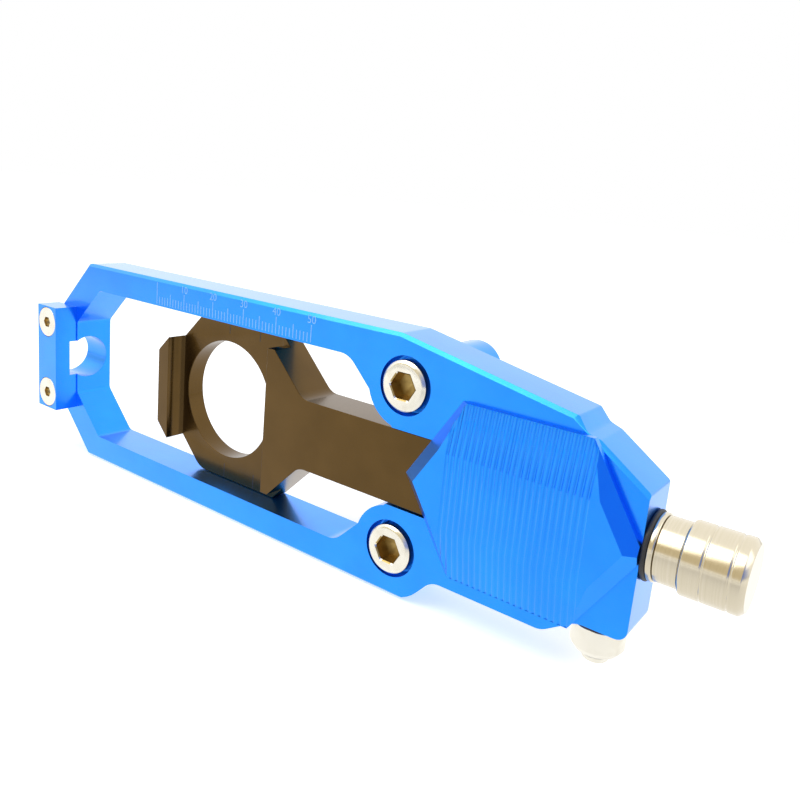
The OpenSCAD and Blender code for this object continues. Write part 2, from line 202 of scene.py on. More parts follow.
def new_group(name: str, inputs: dict[str, float], outputs: Sequence[str]) -> Group:
    """Makes an empty shader group with float sockets.

    Args:
        name: the group's name.
        inputs: input names with their defaults.
        outputs: output names.

    Returns:
        The node group.
    """
    group = bpy.data.node_groups.new(name, "ShaderNodeTree")
    for key, value in inputs.items():
        socket = group.interface.new_socket(key, in_out="INPUT", socket_type="NodeSocketFloat")
        socket.default_value = value
    for key in outputs:
        group.interface.new_socket(key, in_out="OUTPUT", socket_type="NodeSocketFloat")
    return group


def blasted_grain() -> Group:
    """Makes the fine grain of a blasted and anodised face.

    Returns:
        A group with the sizes of the grain and of its cloudy mottle in millimetres as inputs, and
        Height and Mottle outputs from 0 to 1.
    """
    sizes = {"Grain Size": 0.12, "Mottle Size": 9.0}
    group = new_group("blasted_grain", sizes, ("Height", "Mottle"))
    tree = Tree(group)
    source = tree.add("NodeGroupInput")
    result = tree.add("NodeGroupOutput")
    place = tree.add("ShaderNodeTexCoord").outputs["Object"]
    for size, output, detail in (("Grain Size", "Height", 3.0), ("Mottle Size", "Mottle", 2.0)):
        noise = tree.add("ShaderNodeTexNoise", in_Detail=detail, in_Roughness=0.55)
        scale = tree.maths("DIVIDE", 1.0 / MM, source.outputs[size])
        tree.link(place, noise.inputs["Vector"])
        tree.link(scale, noise.inputs["Scale"])
        tree.link(noise.outputs["Fac"], result.inputs[output])
    return group


def turned_marks() -> Group:
    """Makes the fine rings that a lathe tool leaves round an axis along X.

    Returns:
        A group with the axis and the ring pitch in millimetres as inputs, and Height and Streak
        outputs.
    """
    places = {"Axis Y": -22.0, "Axis Z": 0.0, "Pitch": 0.11}
    group = new_group("turned_marks", places, ("Height", "Streak"))
    tree = Tree(group)
    source = tree.add("NodeGroupInput")
    result = tree.add("NodeGroupOutput")
    place = tree.add("ShaderNodeSeparateXYZ")
    tree.link(tree.add("ShaderNodeTexCoord").outputs["Object"], place.inputs[0])
    x, y, z = (tree.maths("MULTIPLY", place.outputs[axis], 1.0 / MM) for axis in "XYZ")
    side = tree.maths("SUBTRACT", y, source.outputs["Axis Y"])
    rise = tree.maths("SUBTRACT", z, source.outputs["Axis Z"])
    squares = (tree.maths("MULTIPLY", part, part) for part in (side, rise))
    radius = tree.maths("SQRT", tree.maths("ADD", *squares))
    run = tree.maths("ADD", x, radius)
    turns = tree.maths("DIVIDE", run, source.outputs["Pitch"])
    wave = tree.maths("SINE", tree.maths("MULTIPLY", turns, 2 * math.pi))
    tree.link(tree.spread(wave, 0.0, 1.0, -1.0, 1.0), result.inputs["Height"])
    streak = tree.add("ShaderNodeTexNoise", noise_dimensions="1D", in_Scale=2.3, in_Detail=4.0)
    tree.link(run, streak.inputs["W"])
    tree.link(streak.outputs["Fac"], result.inputs["Streak"])
    return group


GROUPS: dict[str, Group] = {}


def use_group(tree: Tree, maker: Callable[[], Group], **values: float) -> bpy.types.Node:
    """Places a shared group in a material, building it the first time.

    Args:
        tree: the material's tree.
        maker: the function that builds the group.
        values: input values, with underscores for spaces.

    Returns:
        The group node.
    """
    if maker.__name__ not in GROUPS:
        GROUPS[maker.__name__] = maker()
    node = tree.add("ShaderNodeGroup", node_tree=GROUPS[maker.__name__])
    for key, value in values.items():
        node.inputs[key.replace("_", " ")].default_value = value
    return node


def mix_colour(tree: Tree, mask: Socket, first: Colour, second: Colour) -> Socket:
    """Blends two colours by a mask.

    Args:
        tree: the tree to build in.
        mask: 0 gives the first colour and 1 the second.
        first: linear colour.
        second: linear colour.

    Returns:
        The blended colour.
    """
    node = tree.add("ShaderNodeMix", data_type="RGBA")
    node.inputs[FIRST_COLOUR].default_value = (*first, 1.0)
    node.inputs[SECOND_COLOUR].default_value = (*second, 1.0)
    tree.link(mask, node.inputs["Factor"])
    return node.outputs[MIXED_COLOUR]


@dataclass(frozen=True, kw_only=True)
class Finish:
    """A surface in two tones, with an uneven roughness and a fine relief.

    Attributes:
        name: the material's name.
        colour: its main tone.
        shade: the tone of its spots.
        span: values of the spots' noise between which one tone turns into the other.
        roughness: mean roughness.
        swing: how far the roughness falls below the mean, and how far it rises above it.
        relief: depth of the relief in metres.
        metallic: 1 for metal and 0 for all else.
    """

    name: str
    colour: Colour
    shade: Colour
    span: tuple[float, float] = NOISE_SPAN
    roughness: float
    swing: tuple[float, float] = (0.03, 0.03)
    relief: float = 2.0 * MICRON
    metallic: float = 1.0

    def _marks(self, tree: Tree) -> Sequence[Socket]:
        """Gives the noises of the spots and of the roughness, and the height of the relief."""
        raise NotImplementedError

    def _coat(self, shader: bpy.types.Node) -> None:
        """Lays a clear film over the surface, on finishes that have one."""

    def material(self) -> bpy.types.Material:
        """Builds the material.

        Returns:
            The finished material.
        """
        material = bpy.data.materials.new(self.name)
        material.use_nodes = True
        tree = Tree(material.node_tree)
        shader = tree.add("ShaderNodeBsdfPrincipled", in_Metallic=self.metallic)
        spots, uneven, height = self._marks(tree)
        mask = tree.spread(spots, 0.0, 1.0, *self.span)
        tree.link(mix_colour(tree, mask, self.colour, self.shade), shader.inputs["Base Color"])
        low, high = self.roughness - self.swing[0], self.roughness + self.swing[1]
        tree.link(tree.spread(uneven, low, high, *NOISE_SPAN), shader.inputs["Roughness"])
        bump = tree.add("ShaderNodeBump", in_Strength=1.0, in_Distance=self.relief)
        tree.link(height, bump.inputs["Height"])
        tree.link(bump.outputs["Normal"], shader.inputs["Normal"])
        self._coat(shader)
        output = tree.add("ShaderNodeOutputMaterial")
        tree.link(shader.outputs["BSDF"], output.inputs["Surface"])
        return material


@dataclass(frozen=True, kw_only=True)
class Grained(Finish):
    """A surface with a fine even grain.

    Attributes:
        grain: size of the grain in millimetres.
        mottle: size of the spots in millimetres.
    """

    grain: float
    mottle: float

    def _marks(self, tree: Tree) -> Sequence[Socket]:
        """Gives the spots, and the grain for both roughness and relief."""
        node = use_group(tree, blasted_grain, Grain_Size=self.grain, Mottle_Size=self.mottle)
        return node.outputs["Mottle"], node.outputs["Height"], node.outputs["Height"]


@dataclass(frozen=True, kw_only=True)
class Anodised(Grained):
    """Dyed anodised aluminium: blasted metal under a clear oxide film.

    Attributes:
        film: weight of the film.
        film_roughness: roughness of the film.
        film_index: refractive index of the film.
    """

    grain: float = 0.12
    mottle: float = 9.0
    relief: float = 3.0 * MICRON
    film: float
    film_roughness: float = 0.1
    film_index: float = 1.45

    def _coat(self, shader: bpy.types.Node) -> None:
        """Lays the oxide film over the metal.

        Args:
            shader: the Principled node.
        """
        shader.inputs["Coat Weight"].default_value = self.film
        shader.inputs["Coat Roughness"].default_value = self.film_roughness
        shader.inputs["Coat IOR"].default_value = self.film_index


@dataclass(frozen=True, kw_only=True)
class Plated(Grained):
    """Plated or oiled fastener steel with a faint grain."""

    grain: float = 0.3
    mottle: float = 2.5
    span: tuple[float, float] = (0.4, 0.7)
    swing: tuple[float, float] = (0.03, 0.05)


@dataclass(frozen=True, kw_only=True)
class Matt(Grained):
    """A matt surface without metal, such as rubber or a laser mark."""

    grain: float = 0.15
    mottle: float = 1.5
    swing: tuple[float, float] = (0.06, 0.06)
    metallic: float = 0.0


@dataclass(frozen=True, kw_only=True)
class Turned(Finish):
    """Turned metal with fine tool rings about an axis along X.

    Attributes:
        pitch: spacing of the rings in millimetres.
    """

    pitch: float
    span: tuple[float, float] = (0.2, 0.8)
    swing: tuple[float, float] = (0.01, 0.01)

    def _marks(self, tree: Tree) -> Sequence[Socket]:
        """Gives the streaks for both spots and roughness, and the tool rings."""
        node = use_group(tree, turned_marks, Pitch=self.pitch)
        return node.outputs["Streak"], node.outputs["Streak"], node.outputs["Height"]


BLUE = Anodised(
    name="blue_anodising",
    colour=(0.008, 0.285, 1.0),
    shade=(0.006, 0.255, 0.97),
    roughness=0.31,
    film=0.6,
)
BRONZE = Anodised(
    name="bronze_anodising",
    colour=(0.105, 0.059, 0.015),
    shade=(0.09, 0.05, 0.012),
    roughness=0.3,
    film=0.2,
)
CHROME = Turned(
    name="turned_chrome",
    colour=(0.62, 0.56, 0.44),
    shade=(0.58, 0.52, 0.39),
    roughness=0.18,
    relief=0.1 * MICRON,
    pitch=0.16,
)
BRASS = Turned(
    name="turned_brass",
    colour=(0.76, 0.53, 0.2),
    shade=(0.66, 0.44, 0.15),
    roughness=0.24,
    pitch=0.12,
)
PLATE = Plated(
    name="bright_plating",
    colour=(0.77, 0.74, 0.65),
    shade=(0.71, 0.67, 0.57),
    roughness=0.2,
)
# Painted shade: a darker, browner tone of the plating, laid on the walls inside the screws'
# sockets.
SOCKET_SHADE = Plated(
    name="painted_socket_shade",
    colour=(0.48, 0.34, 0.12),
    shade=(0.34, 0.23, 0.075),
    roughness=0.36,
)
OILED = Plated(
    name="oiled_steel",
    colour=(0.05, 0.045, 0.055),
    shade=(0.03, 0.027, 0.035),
    roughness=0.34,
)
RUBBER = Matt(
    name="ring_rubber",
    colour=(0.016, 0.016, 0.018),
    shade=(0.026, 0.026, 0.028),
    roughness=0.55,
    relief=4.0 * MICRON,
)
LASER = Matt(
    name="laser_mark",
    colour=(0.26, 0.55, 0.95),
    shade=(0.18, 0.48, 0.92),
    roughness=0.6,
)
SCRIBED = Matt(
    name="scribed_line",
    colour=(0.035, 0.026, 0.018),
    shade=(0.028, 0.02, 0.014),
    roughness=0.5,
)


def mesh_object(name: str, mesh: bpy.types.Mesh) -> bpy.types.Object:
    """Links a new object that shows a mesh, shaded smooth across shallow edges.

    Args:
        name: the object's name.
        mesh: its mesh.

    Returns:
        The object.
    """
    obj = bpy.data.objects.new(name, mesh)
    bpy.context.scene.collection.objects.link(obj)
    mesh.shade_smooth()
    mesh.set_sharp_from_angle(angle=math.radians(SMOOTH_ANGLE))
    return obj


def made_object(name: str, work: bmesh.types.BMesh) -> bpy.types.Object:
    """Turns a mesh in the making into an object, and frees it.

    Args:
        name: the object's name.
        work: the mesh in the making.

    Returns:
        The object.
    """
    mesh = bpy.data.meshes.new(name)
    work.to_mesh(mesh)
    work.free()
    return mesh_object(name, mesh)


def mark_outer_edges(mesh: bpy.types.Mesh) -> None:
    """Gives a bevel weight to the sharp edges that stand out, and none to inner corners.

    Args:
        mesh: the mesh, with flat faces and outward normals.
    """
    sharp = math.radians(ROUNDED_ANGLE)
    work = bmesh.new()
    work.from_mesh(mesh)
    weights = work.edges.layers.float.new("bevel_weight_edge")
    for edge in work.edges:
        if len(edge.link_faces) == 2 and edge.is_convex and edge.calc_face_angle() > sharp:
            edge[weights] = 1.0
    work.to_mesh(mesh)
    work.free()


def softened(node: str, width: float) -> bpy.types.Object:
    """Copies a CAD node and rounds its sharp edges a little.

    Args:
        node: the node to stand for.
        width: width of the rounding in metres.

    Returns:
        The new piece, which replaces the node.
    """
    work = bmesh.new()
    work.from_mesh(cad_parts[node].data)
    bmesh.ops.remove_doubles(work, verts=work.verts, dist=WELD)
    flat = math.radians(FLAT_ANGLE)
    bmesh.ops.dissolve_limit(work, angle_limit=flat, verts=work.verts[:], edges=work.edges[:])
    work.verts.index_update()
    points = [vert.co.copy() for vert in work.verts]
    faces = [[vert.index for vert in face.verts] for face in work.faces]
    work.free()
    mesh = bpy.data.meshes.new(f"{node}_skin")
    mesh.from_pydata(points, [], faces)
    obj = mesh_object(f"{node}_skin", mesh)
    mesh.set_sharp_from_angle(angle=math.radians(NO_SHARP_ANGLE))
    mark_outer_edges(mesh)
    rounding = obj.modifiers.new("soft_edges", "BEVEL")
    rounding.limit_method = "WEIGHT"
    rounding.width = width
    rounding.segments = ROUNDING_STEPS
    rounding.use_clamp_overlap = True
    shading = obj.modifiers.new("even_shading", "WEIGHTED_NORMAL")
    shading.keep_sharp = True
    shading.weight = FLAT_FACE_WEIGHT
    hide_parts(node)
    return obj


def mark_socket(obj: bpy.types.Object, node: str, reach: float, depth: float) -> None:
    """Gives material index 1 (painted shade) to faces inside a screw's socket that opens towards
    -Y.

    Args:
        obj: the screw.
        node: the CAD node that it stands for.
        reach: radius within which the socket lies.
        depth: depth down to which faces are marked for painted shade.
    """
    low, high = (Vector(corner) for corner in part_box(node))
    middle = (low + high) / 2
    for face in obj.data.polygons:
        inside = math.hypot(face.center.x - middle.x, face.center.z - middle.z) < reach
        sunk = low.y + SOCKET_LIP < face.center.y < low.y + depth
        face.material_index = 1 if inside and sunk else 0


@dataclass(frozen=True)
class Axis:
    """A turning axis in space.

    Attributes:
        origin: the point where the distance along the axis is zero.
        along: direction in which the distance grows.
        side: direction of angle zero.
    """

    origin: Vector
    along: Vector
    side: Vector

    def ring(self, distance: float, radius: Radius, count: int) -> Ring:
        """Gives the points of one ring about the axis.

        Args:
            distance: place along the axis.
            radius: the radius, or a function of the angle that gives it.
            count: number of points.

        Returns:
            The ring's points.
        """
        across = self.along.cross(self.side)
        points = []
        for step in range(count):
            turn = 2 * math.pi * step / count
            size = radius(turn) if callable(radius) else radius
            spoke = self.side * math.cos(turn) + across * math.sin(turn)
            points.append(self.origin + self.along * distance + spoke * size)
        return points


def loft(name: str, rings: Sequence[Ring]) -> bpy.types.Object:
    """Joins rings of equal length into a closed solid.

    Args:
        name: the object's name.
        rings: the rings from one end to the other, each end closed by a flat face.

    Returns:
        The new object.
    """
    work = bmesh.new()
    rows = [[work.verts.new(point) for point in ring] for ring in rings]
    count = len(rings[0])
    for low, high in zip(rows, rows[1:]):
        for step in range(count):
            after = (step + 1) % count
            work.faces.new((low[step], low[after], high[after], high[step]))
    work.faces.new(rows[0])
    work.faces.new(rows[-1][::-1])
    bmesh.ops.recalc_face_normals(work, faces=work.faces[:])
    return made_object(name, work)


@dataclass(kw_only=True)
class Screw:
    """A screw in rings round its axis, which ends in an outside metric thread.

    Attributes:
        node: the CAD node it stands for.
        thread: outer radius of the thread.
        pitch: distance between two turns of the thread.
        rows: rings for each turn.
        point: length of the bevel at the screw's end.
        count: points in a ring.
    """

    node: str
    thread: float = 3.0 * MM
    pitch: float = 1.0 * MM
    rows: int = 12
    point: float = 0.7 * MM
    count: int = 48

    def _plain_rings(self, axis: Axis, profile: Sequence[tuple[float, Radius]]) -> list[Ring]:
        """Gives the rings without a thread.

        Args:
            axis: the screw's axis.
            profile: each ring's place along the axis and its radius.

        Returns:
            The rings, in the same order.
        """
        return [axis.ring(place, radius, self.count) for place, radius in profile]

    def _thread_rings(self, axis: Axis, start: float, end: float) -> list[Ring]:
        """Gives the rings of the threaded length.

        Args:
            axis: the screw's axis.
            start: where the thread starts along the axis.
            end: where the screw ends, in its bevelled point.

        Returns:
            The rings from start to end.
        """
        steps = max(2, round(abs(end - start) / self.pitch * self.rows))
        rings = []
        for step in range(steps + 1):
            place = start + (end - start) * step / steps
            rings.append(axis.ring(place, self._thread_form(place, start, end), self.count))
        return rings

    def _thread_form(self, place: float, start: float, end: float) -> Callable[[float], float]:
        """Gives the form of one ring of the thread.

        Args:
            place: the ring's place along the axis.
            start: where the thread starts along the axis.
            end: where it ends.

        Returns:
            The ring's radius as a function of the angle.
        """
        fade = min(1.0, abs(place - start) / self.pitch)
        limit = self.thread - max(0.0, self.point - abs(end - place))
        depth = THREAD_DEPTH * self.pitch

        def radius(turn: float) -> float:
            """Gives the ring's radius at an angle."""
            phase = (place / self.pitch - turn / (2 * math.pi)) % 1.0
            rise = min(1.0, max(0.0, (abs(phase - 0.5) - THREAD_CREST) / THREAD_FLANK))
            return min(limit, self.thread - depth * rise * fade)

        return radius


@dataclass(kw_only=True)
class CapScrew(Screw):
    """One fixing screw with a socket head that faces -Y.

    Attributes:
        shank: radius of the plain shank.
        plain: length of plain shank under the head.
        key: width across the flats of the socket.
        socket_depth: depth of the socket.
        drill_point: depth and radius of the drill's point in the socket's floor.
        floor_share: width of the socket's floor, as a share of the socket.
        mouth_depth: depth of the socket's bevelled mouth.
        mouth_share: width of that mouth, as a share of the socket.
        crown: round edge of the head, as depths below its top and distances inside its side.
        under_edge: width of the bevel under the head.
        socket_reach: radius of the socket's painted shade, as a share of its key.
        socket_dark: depth of that painted shade, as a share of the head's height.
    """

    shank: float = 2.95 * MM
    plain: float = 21.85 * MM
    key: float = 5.0 * MM
    socket_depth: float = 3.0 * MM
    drill_point: tuple[float, float] = (0.5 * MM, 0.3 * MM)
    floor_share: float = 0.86
    mouth_depth: float = 0.25 * MM
    mouth_share: float = 1.09
    crown: tuple[tuple[float, float], ...] = (
        (0.0, 0.8 * MM),
        (0.1 * MM, 0.5 * MM),
        (0.55 * MM, 0.06 * MM),
        (0.9 * MM, 0.0),
    )
    under_edge: float = 0.25 * MM
    socket_reach: float = 0.56
    socket_dark: float = 0.6

    def _hexagon(self, scale: float = 1.0) -> Callable[[float], float]:
        """Gives the form of the socket.

        Args:
            scale: its width, as a share of the key's.

        Returns:
            The socket's radius as a function of the angle.
        """
        flat = self.key / 2 * scale
        sixth = math.pi / 3

        def radius(turn: float) -> float:
            """Gives the socket's radius at an angle."""
            return flat / math.cos(turn % sixth - sixth / 2)

        return radius

    def build(self) -> bpy.types.Object:
        """Builds the screw with its thread.

        Returns:
            The piece, which replaces the CAD node.
        """
        low, high = (Vector(corner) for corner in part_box(self.node))
        head = (high.x - low.x) / 2
        length = high.y - low.y
        middle = Vector(((low.x + high.x) / 2, low.y, (low.z + high.z) / 2))
        axis = Axis(middle, Vector((0, 1, 0)), Vector((1, 0, 0)))
        # A cap screw's head is as high as its thread is thick.
        under = 2 * self.thread
        shank_end = under + self.plain
        point_depth, point_radius = self.drill_point
        profile = [
            (self.socket_depth + point_depth, point_radius),
            (self.socket_depth, self._hexagon(self.floor_share)),
            (self.socket_depth, self._hexagon()),
            (self.mouth_depth, self._hexagon()),
            (0.0, self._hexagon(self.mouth_share)),
            *((depth, head - inset) for depth, inset in self.crown),
            (under - self.under_edge, head),
            (under, head - self.under_edge),
            (under, self.shank),
            (shank_end, self.shank),
        ]
        plain = self._plain_rings(axis, profile)
        obj = loft(f"{self.node}_body", plain + self._thread_rings(axis, shank_end, length))
        mark_socket(obj, self.node, self.socket_reach * self.key, self.socket_dark * under)
        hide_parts(self.node)
        return obj


@dataclass(kw_only=True)
class Spindle(Screw):
    """The adjuster screw: thread, journal, collar and the spigot inside the knob.

    Attributes:
        node: the CAD node it stands for.
        journal: radius of the journal.
        thread_end: where the thread runs out, along X.
        clip_groove: start and end of the clip's groove, along X.
        shoulder: length of the journal's shoulder before that groove.
        gap: room on either side of the collar.
        rim: width of the collar's soft edges.
    """

    node: str = "adjuster_screw"
    journal: float = 3.5 * MM
    thread_end: float = 33.0 * MM
    clip_groove: tuple[float, float] = (35.15 * MM, 36.1 * MM)
    shoulder: float = 1.0 * MM
    gap: float = 0.05 * MM
    rim: float = 0.15 * MM

    def build(self) -> bpy.types.Object:
        """Builds the screw with its thread.

        Returns:
            The piece, which replaces the CAD node.
        """
        low, high = (Vector(corner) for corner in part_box(self.node))
        collar = (high.z - low.z) / 2
        middle = Vector((0, (low.y + high.y) / 2, 0))
        axis = Axis(middle, Vector((1, 0, 0)), Vector((0, 0, 1)))
        collar_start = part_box("flange_washer")[1][0] + self.gap
        collar_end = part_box("adjuster_knob")[0][0] - self.gap
        groove_start, groove_end = self.clip_groove
        shoulder_start = groove_start - self.shoulder
        profile = (
            (shoulder_start - self.gap, self.thread),
            (shoulder_start, self.journal),
            (groove_start, self.journal),
            (groove_start, self.thread),
            (groove_end, self.thread),
            (groove_end, self.journal),
            (collar_start, self.journal),
            (collar_start, collar - self.rim),
            (collar_start + self.rim, collar),
            (collar_end - self.rim, collar),
            (collar_end, collar - self.rim),
            (collar_end, self.thread),
            (high.x, self.thread),
        )
        threaded = self._thread_rings(axis, self.thread_end, low.x)
        obj = loft(f"{self.node}_body", threaded[::-1] + self._plain_rings(axis, profile))
        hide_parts(self.node)
        return obj


def add_plate(work: bmesh.types.BMesh, low: Sequence[float], high: Sequence[float]) -> None:
    """Adds a thin box to a mesh in the making.

    Args:
        work: the mesh in the making.
        low: the box's lowest corner.
        high: its highest corner.
    """
    size = Vector(high) - Vector(low)
    middle = (Vector(high) + Vector(low)) / 2
    matrix = Matrix.Translation(middle) @ Matrix.Diagonal((*size, 1.0))
    bmesh.ops.create_cube(work, size=1.0, matrix=matrix)


@dataclass
class Rule:
    """The engraved millimetre rule on the frame's upper bar.

    Attributes:
        zero_x: where the rule's zero lies along X.
        inner_z: lower ends of the marks.
        reading: highest reading in millimetres.
        number_z: height of the middle of the numbers.
        number_size: height of the figures.
        em_share: size of the font, as a share of the height of its figures.
        curve_steps: points in each curve of a figure.
        mark_lengths: lengths of the marks at zero, at tens, at fives and at ones.
        line: width of a mark.
        skin: how far the marks stand on the face.
    """

    zero_x: float = -74.3 * MM
    inner_z: float = 20.2 * MM
    reading: int = 50
    number_z: float = 24.85 * MM
    number_size: float = 1.8 * MM
    em_share: float = 1.35
    curve_steps: int = 3
    mark_lengths: tuple[float, float, float, float] = (5.2 * MM, 3.6 * MM, 2.9 * MM, 1.9 * MM)
    line: float = 0.24 * MM
    skin: float = 0.012 * MM

    def _mark_length(self, reading: int) -> float:
        """Gives the length of a mark.

        Args:
            reading: the mark's reading in millimetres.

        Returns:
            Its length in metres.
        """
        zero, tens, fives, ones = self.mark_lengths
        if reading == 0:
            return zero
        if reading % 10 == 0:
            return tens
        return fives if reading % 5 == 0 else ones

    def _number(self, work: bmesh.types.BMesh, text: str, x: float, y: float) -> None:
        """Adds one number to a mesh in the making, standing upright on the face.

        Args:
            work: the mesh in the making.
            text: the number.
            x: where its middle lies along X.
            y: depth of the face.
        """
        curve = bpy.data.curves.new("figure", "FONT")
        curve.body = text
        curve.size = self.number_size * self.em_share
        curve.align_x = "CENTER"
        curve.align_y = "CENTER"
        curve.extrude = self.skin
        curve.resolution_u = self.curve_steps
        holder = bpy.data.objects.new("figure", curve)
        bpy.context.scene.collection.objects.link(holder)
        bpy.context.view_layer.update()
        mesh = bpy.data.meshes.new_from_object(holder)
        upright = Matrix.Rotation(math.pi / 2, 4, "X")
        mesh.transform(Matrix.Translation((x, y, self.number_z)) @ upright)
        work.from_mesh(mesh)
        bpy.data.objects.remove(holder)
        bpy.data.meshes.remove(mesh)

    def build(self) -> bpy.types.Object:
        """Builds the rule.

        Returns:
            The piece with all marks and numbers.
        """
        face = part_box("frame_plate")[0][1]
        work = bmesh.new()
        for reading in range(self.reading + 1):
            x = self.zero_x + reading * MM
            top = self.inner_z + self._mark_length(reading)
            add_plate(
                work,
                (x - self.line / 2, face - self.skin, self.inner_z),
                (x + self.line / 2, face + self.skin, top),
            )
        for reading in range(10, self.reading + 1, 10):
            self._number(work, str(reading), self.zero_x + reading * MM, face)
        return made_object("rule_marks", work)


@dataclass
class IndexLines:
    """The two pairs of scribed lines on the slider that are read against the rule.

    Attributes:
        spacing: distance between the two lines.
        length: length of a line.
        line: width of a line.
        land_y: depth of the slider's land.
        axle_x: where the axle lies along X.
        edge_gap: bare strip between a line and the slider's edge.
        skin: how far the lines stand on the land.
    """

    spacing: float = 10.0 * MM
    length: float = 3.6 * MM
    line: float = 0.22 * MM
    land_y: float = -21.5 * MM
    axle_x: float = -54.3 * MM
    edge_gap: float = 0.1 * MM
    skin: float = 0.012 * MM

    def build(self) -> bpy.types.Object:
        """Builds the lines.

        Returns:
            The piece with all four lines.
        """
        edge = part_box("slider")[1][2] - self.edge_gap
        work = bmesh.new()
        for x in (self.axle_x, self.axle_x + self.spacing):
            for side in (-1, 1):
                ends = sorted((side * edge, side * (edge - self.length)))
                add_plate(
                    work,
                    (x - self.line / 2, self.land_y - self.skin, ends[0]),
                    (x + self.line / 2, self.land_y + self.skin, ends[1]),
                )
        return made_object("index_lines", work)


class Finisher:
    """Builds each finish once and gives it to the pieces."""

    def __init__(self) -> None:
        """Starts with no finish built."""
        self.built: dict[str, bpy.types.Material] = {}

    def dress(
        self,
        obj: bpy.types.Object,
        finish: Finish,
        body: Body,
        inner: Finish | None = None,
    ) -> None:
        """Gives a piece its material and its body.

        Args:
            obj: the piece.
            finish: its finish.
            body: the body that it rides on.
            inner: the finish of the faces that have material index 1, if there are any.
        """
        for layer in (finish, inner) if inner else (finish,):
            if layer.name not in self.built:
                self.built[layer.name] = layer.material()
            obj.data.materials.append(self.built[layer.name])
        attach(obj, body.value)
        LOG.info("%s: %s on %s", obj.name, finish.name, body.value)


@dataclass
class Housing:
    """The blue frame with its cover, anchor block, spacers and rule.

    Attributes:
        edge: width of the soft edges of the frame, the anchor block and the spacers.
        cover_edge: width of the soft edges of the cover.
    """

    edge: float = 0.22 * MM
    cover_edge: float = 0.06 * MM

    def build(self, finisher: Finisher) -> None:
        """Builds and dresses the housing.

        Args:
            finisher: gives the pieces their finishes.
        """
        for node, width in (
            ("frame_plate", self.edge),
            ("channel_cover", self.cover_edge),
            ("anchor_block", self.edge),
            ("spacer_upper", self.edge),
            ("spacer_lower", self.edge),
        ):
            finisher.dress(softened(node, width), BLUE, Body.FRAME)
        finisher.dress(Rule().build(), LASER, Body.FRAME)


@dataclass
class Carrier:
    """The bronze slider that carries the axle.

    Attributes:
        edge: width of the slider's soft edges.
    """

    edge: float = 0.2 * MM

    def build(self, finisher: Finisher) -> None:
        """Builds and dresses the slider.

        Args:
            finisher: gives the pieces their finishes.
        """
        finisher.dress(softened("slider", self.edge), BRONZE, Body.SLIDER)
        finisher.dress(IndexLines().build(), SCRIBED, Body.SLIDER)


@dataclass
class Fasteners:
    """The screws that hold the frame, the cover and the anchor block.

    Attributes:
        edge: width of their soft edges.
        socket_reach: radius within which an anchor screw's socket lies, and gets painted shade.
        socket_depth: depth to which that socket is darkened by painted shade.
        cover_screws: number of the cover's screws.
    """

    edge: float = 0.1 * MM
    socket_reach: float = 1.5 * MM
    socket_depth: float = 2.2 * MM
    cover_screws: int = 4

    def build(self, finisher: Finisher) -> None:
        """Builds and dresses the fasteners.

        Args:
            finisher: gives the pieces their finishes.
        """
        # The second finish is painted shade inside each screw's socket.
        for node in ("mount_screw_upper", "mount_screw_lower"):
            finisher.dress(CapScrew(node=node).build(), PLATE, Body.FRAME, SOCKET_SHADE)
        for node in ("anchor_screw_upper", "anchor_screw_lower"):
            screw = softened(node, self.edge)
            mark_socket(screw, node, self.socket_reach, self.socket_depth)
            finisher.dress(screw, PLATE, Body.FRAME, SOCKET_SHADE)
        for number in range(self.cover_screws):
            screw = softened(f"cover_screw_{number + 1}", self.edge)
            finisher.dress(screw, PLATE, Body.FRAME)


@dataclass
class Adjuster:
    """The adjuster screw with its knob, washers and clip.

    Attributes:
        edge: width of the soft edges of the knob and the washers.
        clip_edge: width of the clip's soft edges.
    """

    edge: float = 0.1 * MM
    clip_edge: float = 0.05 * MM

    def build(self, finisher: Finisher) -> None:
        """Builds and dresses the adjuster.

        Args:
            finisher: gives the pieces their finishes.
        """
        finisher.dress(Spindle().build(), CHROME, Body.ADJUSTER)
        for node, width, finish, body, slot in (
            ("adjuster_knob", self.edge, CHROME, Body.ADJUSTER, Slot.STEEL),
            ("retaining_clip", self.clip_edge, OILED, Body.ADJUSTER, Slot.DARK),
            ("friction_ring", self.edge, RUBBER, Body.FRAME, Slot.RUBBER),
            ("flange_washer", self.edge, CHROME, Body.FRAME, Slot.STEEL),
            ("thrust_washer", self.edge, BRASS, Body.FRAME, Slot.BRASS),
        ):
            finisher.dress(softened(node, width), finish, body)


@dataclass
class Lock:
    """The lock screw under the head, with its washer and pad.

    Attributes:
        edge: width of the soft edges of the screw and the pad.
        washer_edge: width of the washer's soft edges.
    """

    edge: float = 0.12 * MM
    washer_edge: float = 0.08 * MM

    def build(self, finisher: Finisher) -> None:
        """Builds and dresses the lock.

        Args:
            finisher: gives the pieces their finishes.
        """
        for node, width, finish, body, slot in (
            ("lock_screw", self.edge, PLATE, Body.LOCK_SCREW, Slot.STEEL),
            ("lock_pad", self.edge, BRASS, Body.LOCK_PAD, Slot.BRASS),
            ("lock_washer", self.washer_edge, OILED, Body.FRAME, Slot.DARK),
        ):
            finisher.dress(softened(node, width), finish, body)


@dataclass(frozen=True)
class Softbox:
    """One square softbox.

    Attributes:
        name: the lamp's name.
        place: where it hangs.
        aim: the point that it faces.
        size: length of its sides.
        power: its power in watts.
    """

    name: str
    place: tuple[float, float, float]
    aim: tuple[float, float, float]
    size: float
    power: float

    def hang(self) -> None:
        """Adds the lamp to the scene."""
        data = bpy.data.lights.new(self.name, "AREA")
        data.size = self.size
        data.energy = self.power
        obj = bpy.data.objects.new(self.name, data)
        obj.location = self.place
        facing = Vector(self.aim) - Vector(self.place)
        obj.rotation_euler = facing.to_track_quat("-Z", "Y").to_euler()
        bpy.context.scene.collection.objects.link(obj)


